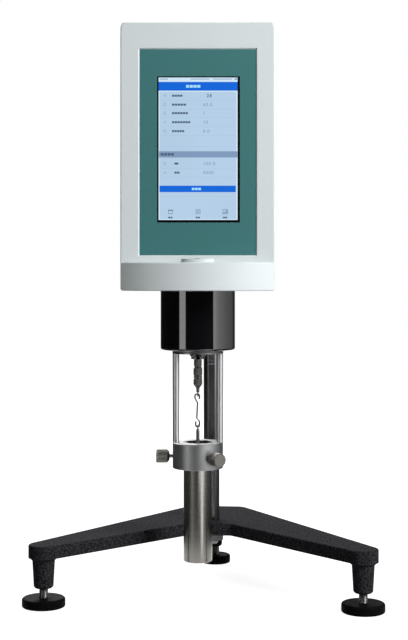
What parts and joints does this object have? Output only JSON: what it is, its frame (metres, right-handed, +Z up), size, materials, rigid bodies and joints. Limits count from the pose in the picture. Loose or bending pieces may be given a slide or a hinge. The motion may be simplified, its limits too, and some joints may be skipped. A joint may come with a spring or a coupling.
{
  "type": "rotational viscometer",
  "caption": "Bench viscometer: upright touchscreen head on a rack column and V-shaped levelling stand, with a spindle hung through a low-viscosity sample tube.",
  "frame": {"origin": "middle of the footprint, on the table", "axes": "+X to the viewer's right, +Y to the back, +Z up"},
  "size_m": [0.3939, 0.2993, 0.6331],
  "materials": {
    "casting_paint": "fine textured dark paint",
    "foot_plastic": "moulded, satin",
    "stud_steel": "turned, dull",
    "column_steel": "polished, dark",
    "rack_steel": "milled",
    "black_plastic": "moulded",
    "clamp_paint": "satin dark paint",
    "bush_brass": "turned",
    "housing_paint": "satin pale grey",
    "zinc": "zinc plated",
    "panel_green": "satin film",
    "screen_glass": "glossy black",
    "module_metal": "pressed sheet",
    "level_glass": "clear",
    "circuit_green": "solder mask",
    "collar_gloss": "glossy black",
    "flange_metal": "dark anodised",
    "motor_metal": "satin black",
    "port_metal": "pressed sheet",
    "rocker_plastic": "glossy",
    "shaft_steel": "ground",
    "disc_metal": "etched sheet",
    "spring_bronze": "rolled strip",
    "post_chrome": "bright",
    "ring_aluminium": "satin, turned",
    "knob_metal": "knurled",
    "tube_steel": "fine turned, bright",
    "seal_rubber": "smooth"
  },
  "bodies": {
    "base": {"base_casting": "casting_paint"},
    "foot_left_screw": {"foot_stud_left": "stud_steel"},
    "foot_left_pad": {"foot_disc_left": "foot_plastic"},
    "foot_right_screw": {"foot_stud_right": "stud_steel"},
    "foot_right_pad": {"foot_disc_right": "foot_plastic"},
    "foot_rear_screw": {"foot_stud_rear": "stud_steel"},
    "foot_rear_pad": {"foot_disc_rear": "foot_plastic"},
    "column": {"column": "column_steel", "column_nut": "stud_steel", "column_rack": "rack_steel", "column_cap": "black_plastic"},
    "carriage": {"clamp_block": "clamp_paint", "clamp_bush": "bush_brass"},
    "pinion": {"lift_pinion": "rack_steel", "lift_knob": "black_plastic"},
    "column_lock": {"column_lock_screw": "black_plastic"},
    "rod_lock": {"rod_lock_screw": "black_plastic"},
    "head": {"mounting_rod": "column_steel", "mounting_flange": "clamp_paint", "front_housing": "housing_paint", "rear_housing": "housing_paint", "housing_screws": "zinc", "flange_screws": "zinc", "front_panel": "panel_green", "display_glass": "screen_glass", "display_module": "module_metal", "level_cup": "module_metal", "level_lens": "level_glass", "main_board": "circuit_green", "power_board": "circuit_green", "standoffs": "module_metal", "collar": "collar_gloss", "adapter_flange": "flange_metal", "pivot_cap": "collar_gloss", "pivot_bearing": "bush_brass", "lower_chassis_plate": "module_metal", "upper_chassis_plate": "module_metal", "drive_motor": "motor_metal", "disc_sensors": "black_plastic", "probe_socket": "black_plastic", "usb_port": "port_metal", "power_inlet": "black_plastic", "switch_frame": "black_plastic", "adapter_posts": "post_chrome", "clamp_ring": "ring_aluminium"},
    "rocker": {"switch_rocker": "rocker_plastic"},
    "drive": {"drive_shaft": "shaft_steel", "drive_disc": "disc_metal", "hairspring": "spring_bronze"},
    "spindle": {"pivot_shaft": "shaft_steel", "pivot_disc": "disc_metal", "coupling_nut": "shaft_steel", "hook_link": "shaft_steel", "rotor": "shaft_steel"},
    "tube": {"sample_tube": "tube_steel", "tube_plug": "tube_steel", "plug_seal": "seal_rubber"},
    "thumb_left": {"thumb_screw_left": "knob_metal"},
    "thumb_right": {"thumb_screw_right": "knob_metal"},
    "thumb_rear": {"thumb_screw_rear": "knob_metal"}
  },
  "joints": [
    {"name": "foot_left_height", "type": "slide", "parent": "base", "child": "foot_left_screw", "axis": [0, 0, 1], "range_m": [-0.006, 0.006]},
    {"name": "foot_left_turn", "type": "hinge", "parent": "foot_left_screw", "child": "foot_left_pad", "pos_m": [-0.17333, -0.09657, 0.005], "axis": [0, 0, 1], "range_deg": [-1440, 1440]},
    {"name": "foot_right_height", "type": "slide", "parent": "base", "child": "foot_right_screw", "axis": [0, 0, 1], "range_m": [-0.006, 0.006]},
    {"name": "foot_right_turn", "type": "hinge", "parent": "foot_right_screw", "child": "foot_right_pad", "pos_m": [0.17325, -0.12056, 0.005], "axis": [0, 0, 1], "range_deg": [-1440, 1440]},
    {"name": "foot_rear_height", "type": "slide", "parent": "base", "child": "foot_rear_screw", "axis": [0, 0, 1], "range_m": [-0.006, 0.006]},
    {"name": "foot_rear_turn", "type": "hinge", "parent": "foot_rear_screw", "child": "foot_rear_pad", "pos_m": [0.01656, 0.13116, 0.005], "axis": [0, 0, 1], "range_deg": [-1440, 1440]},
    {"name": "column_swivel", "type": "hinge", "parent": "base", "child": "column", "pos_m": [0.0111, 0.05235, 0.06], "axis": [0, 0, 1], "range_deg": [-25, 25]},
    {"name": "lift", "type": "slide", "parent": "column", "child": "carriage", "axis": [0, 0, 1], "range_m": [-0.018, 0.08]},
    {"name": "lift_knob_turn", "type": "hinge", "parent": "carriage", "child": "pinion", "pos_m": [0.0111, 0.03695, 0.456], "axis": [1, 0, 0], "range_deg": [-580, 135]},
    {"name": "column_lock_turn", "type": "hinge", "parent": "carriage", "child": "column_lock", "pos_m": [0.0411, 0.05235, 0.477], "axis": [1, 0, 0], "range_deg": [0, 540]},
    {"name": "rod_lock_turn", "type": "hinge", "parent": "carriage", "child": "rod_lock", "pos_m": [-0.0349, 0.04635, 0.477], "axis": [-1, 0, 0], "range_deg": [0, 540]},
    {"name": "head_roll", "type": "hinge", "parent": "carriage", "child": "head", "pos_m": [-0.0099, 0.03835, 0.477], "axis": [0, 1, 0], "range_deg": [-5, 5]},
    {"name": "power_rocker", "type": "hinge", "parent": "head", "child": "rocker", "pos_m": [0.0111, 0.00435, 0.372], "axis": [1, 0, 0], "range_deg": [-16, 0]},
    {"name": "drive_spin", "type": "hinge", "parent": "head", "child": "drive", "pos_m": [-0.0049, -0.06165, 0.39], "axis": [0, 0, -1], "continuous": true},
    {"name": "spindle_lag", "type": "hinge", "parent": "drive", "child": "spindle", "pos_m": [-0.0049, -0.06165, 0.3], "axis": [0, 0, 1], "range_deg": [0, 85], "stiffness_Nm_per_rad": 0.000045},
    {"name": "tube_release", "type": "slide", "parent": "head", "child": "tube", "axis": [0, 0, 1], "range_m": [-0.024, 0]},
    {"name": "thumb_left_turn", "type": "hinge", "parent": "head", "child": "thumb_left", "pos_m": [-0.0049, -0.06165, 0.16], "axis": [-0.9994, -0.0349, 0], "range_deg": [0, 720]},
    {"name": "thumb_right_turn", "type": "hinge", "parent": "head", "child": "thumb_right", "pos_m": [-0.0049, -0.06165, 0.16], "axis": [0.5299, -0.848, 0], "range_deg": [0, 720]},
    {"name": "thumb_rear_turn", "type": "hinge", "parent": "head", "child": "thumb_rear", "pos_m": [-0.0049, -0.06165, 0.16], "axis": [0.4695, 0.8829, 0], "range_deg": [0, 720]}
  ],
  "couplings": [
    {"joint": "foot_left_turn", "follows": "foot_left_height", "rad_per_m": 4188.8},
    {"joint": "foot_right_turn", "follows": "foot_right_height", "rad_per_m": 4188.8},
    {"joint": "foot_rear_turn", "follows": "foot_rear_height", "rad_per_m": 4188.8},
    {"joint": "lift_knob_turn", "follows": "lift", "rad_per_m": -125}
  ]
}
